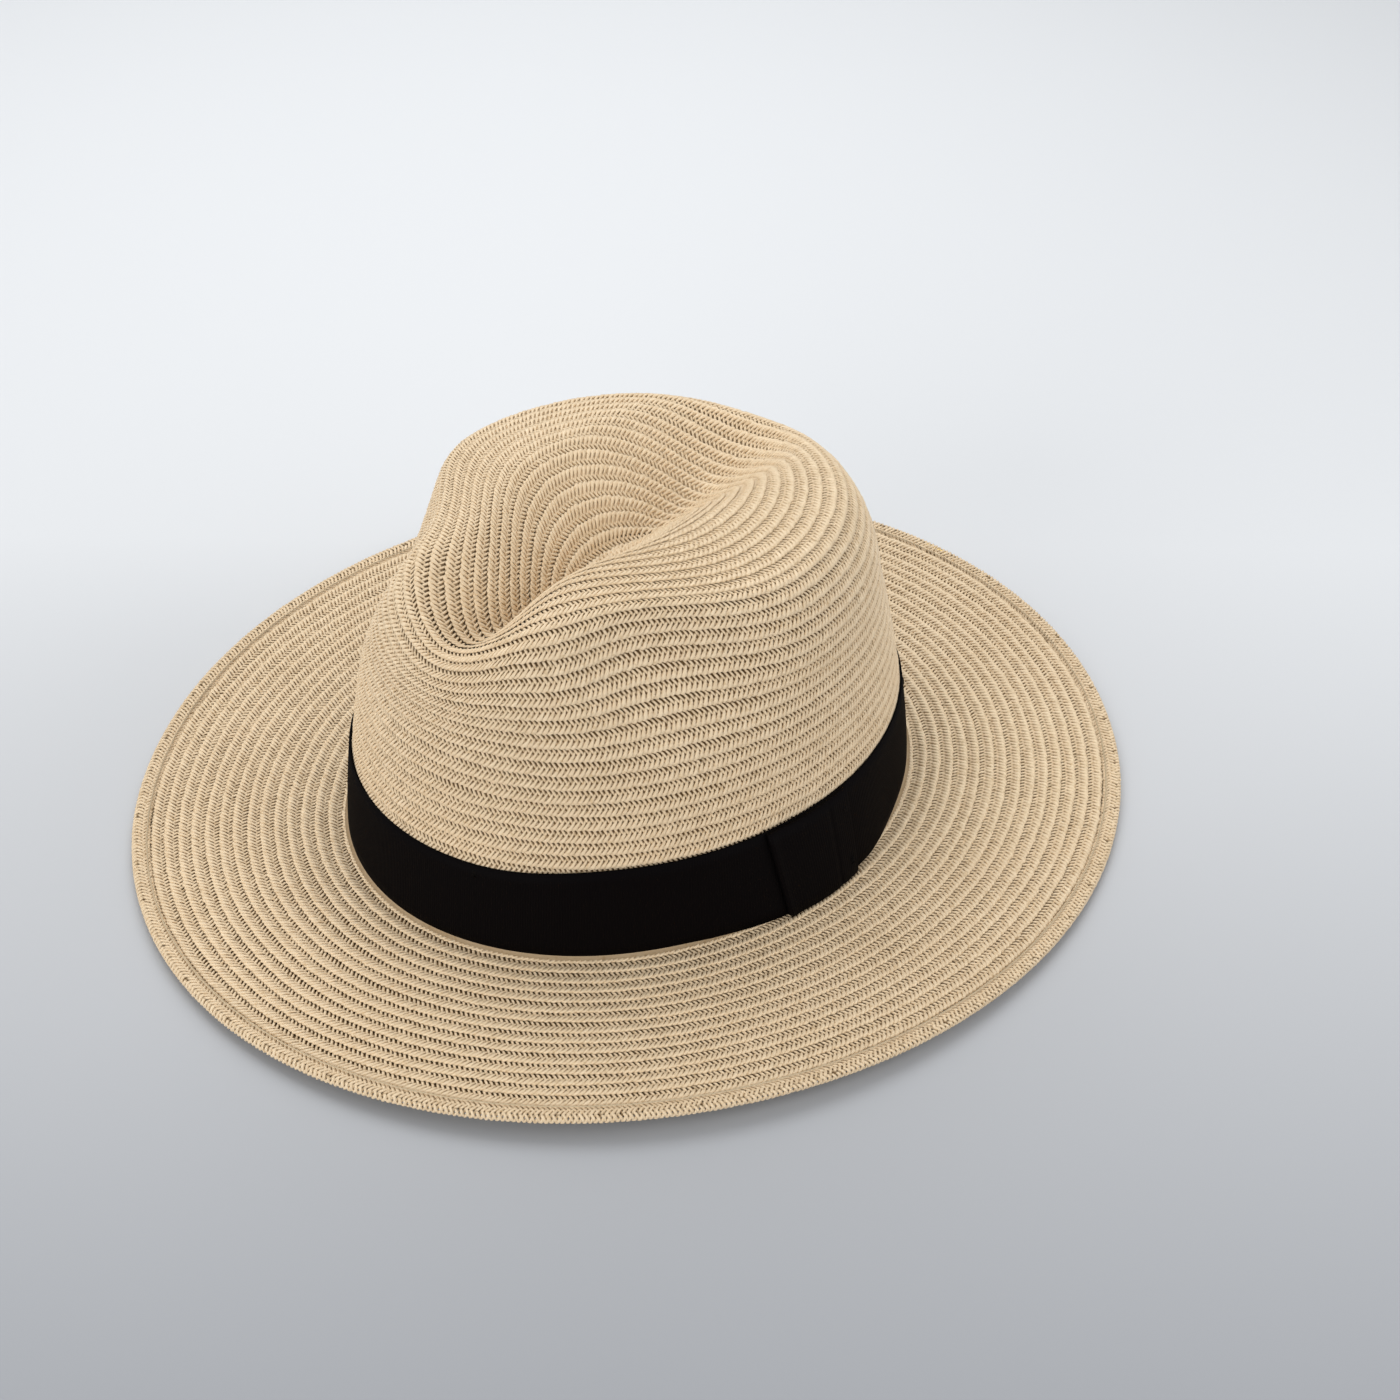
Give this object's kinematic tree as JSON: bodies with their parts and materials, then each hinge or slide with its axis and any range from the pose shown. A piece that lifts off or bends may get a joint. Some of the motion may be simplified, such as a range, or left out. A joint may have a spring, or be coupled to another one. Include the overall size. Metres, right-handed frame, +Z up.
{
  "type": "straw sun hat",
  "caption": "Sewn straw-braid sun hat with a pinched teardrop crown, a broad flat wired brim, a black ribbon band and a flat ribbon tab.",
  "frame": {"origin": "on the floor under the middle of the brim", "axes": "+Z up through the crown, -Y towards the front of the hat, +X towards the wearer's left"},
  "size_m": [0.3158, 0.3447, 0.1208],
  "materials": {
    "straw": "natural plaited paper straw, semi-matte",
    "straw_thread": "cotton sewing thread",
    "ribbon": "ribbed grosgrain, soft sheen",
    "black_thread": "sewing thread",
    "sweatband_twill": "matte cotton twill",
    "wire": "bright drawn wire",
    "joiner": "crimped sleeve"
  },
  "bodies": {
    "root": {"crown_tip_braid": "straw", "crown_side_braid": "straw", "brim_braid": "straw", "brim_hem_braid": "straw", "crown_row_thread": "straw_thread", "brim_row_thread": "straw_thread", "hem_thread": "straw_thread", "brim_wire": "wire", "wire_joiner": "joiner", "hat_band": "ribbon", "band_tab": "ribbon", "band_tacks": "black_thread", "sweatband": "sweatband_twill", "sweatband_thread": "black_thread"}
  },
  "joints": []
}
